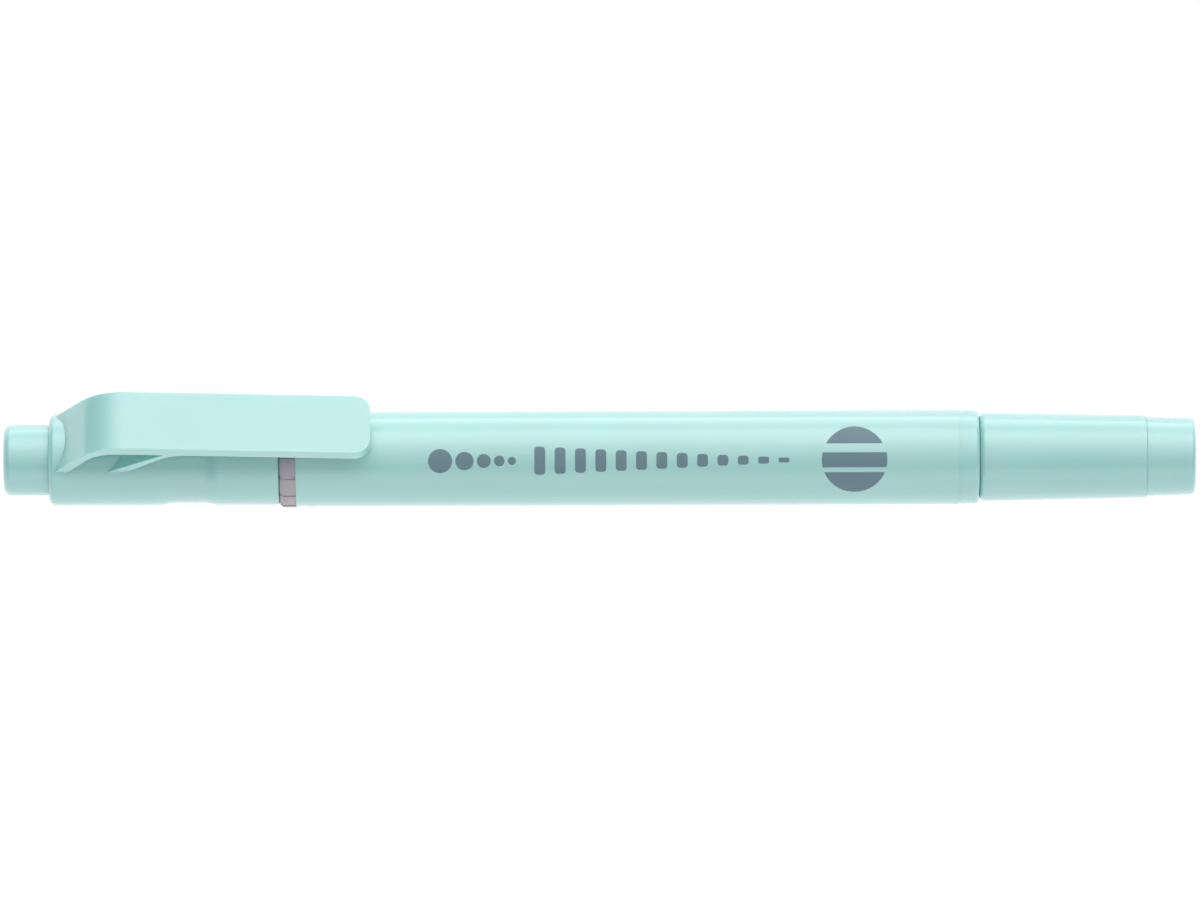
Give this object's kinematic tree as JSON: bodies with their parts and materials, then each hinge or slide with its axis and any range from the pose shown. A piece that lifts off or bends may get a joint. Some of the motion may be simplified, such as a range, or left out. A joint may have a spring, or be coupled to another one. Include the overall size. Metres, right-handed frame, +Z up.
{
  "type": "highlighter",
  "caption": "Slim double-ended highlighter with a broad flexing chisel tip, a fine tip, pull-off caps and a sprung pocket clip.",
  "frame": {"origin": "on the surface that the pen lies on, under the middle of its bounding box", "axes": "+X along the pen from the big cap towards the small cap, +Z up with the pocket clip on top, +Y across"},
  "size_m": [0.144, 0.0116, 0.016],
  "materials": {
    "mint_moulded": "moulded polypropylene, soft gloss",
    "printed_film": null,
    "grey_moulded": "moulded, satin",
    "nib_fibre": "bonded fibre soaked with pastel ink",
    "reservoir_fibre": "bundled polyester fibre soaked with ink",
    "clear_wrap": "thin clear film"
  },
  "bodies": {
    "barrel": {"barrel": "mint_moulded", "label_film": "printed_film", "chisel_holder": "grey_moulded", "chisel_nib_stem": "nib_fibre", "ink_reservoir": "reservoir_fibre", "reservoir_film": "clear_wrap", "fine_holder": "mint_moulded", "fine_nib": "nib_fibre"},
    "big_cap": {"cap_shell": "mint_moulded", "inner_cap": "mint_moulded"},
    "clip": {"clip": "mint_moulded"},
    "small_cap": {"small_cap_shell": "mint_moulded", "small_cap_tail": "mint_moulded"},
    "nib_tip": {"chisel_nib": "nib_fibre"}
  },
  "joints": [
    {"name": "big_cap_pull", "type": "slide", "parent": "barrel", "child": "big_cap", "axis": [-1, 0, 0], "range_m": [0, 0.03]},
    {"name": "small_cap_pull", "type": "slide", "parent": "barrel", "child": "small_cap", "axis": [1, 0, 0], "range_m": [0, 0.026]},
    {"name": "clip_flex", "type": "hinge", "parent": "big_cap", "child": "clip", "pos_m": [-0.0493, 0, 0.01482], "axis": [0, -1, 0], "range_deg": [0, 6], "stiffness_Nm_per_rad": 0.8},
    {"name": "chisel_tip_flex", "type": "hinge", "parent": "barrel", "child": "nib_tip", "pos_m": [-0.0565, 0, 0.00583], "axis": [0, 1, 0], "range_deg": [-5, 5], "stiffness_Nm_per_rad": 0.05}
  ]
}
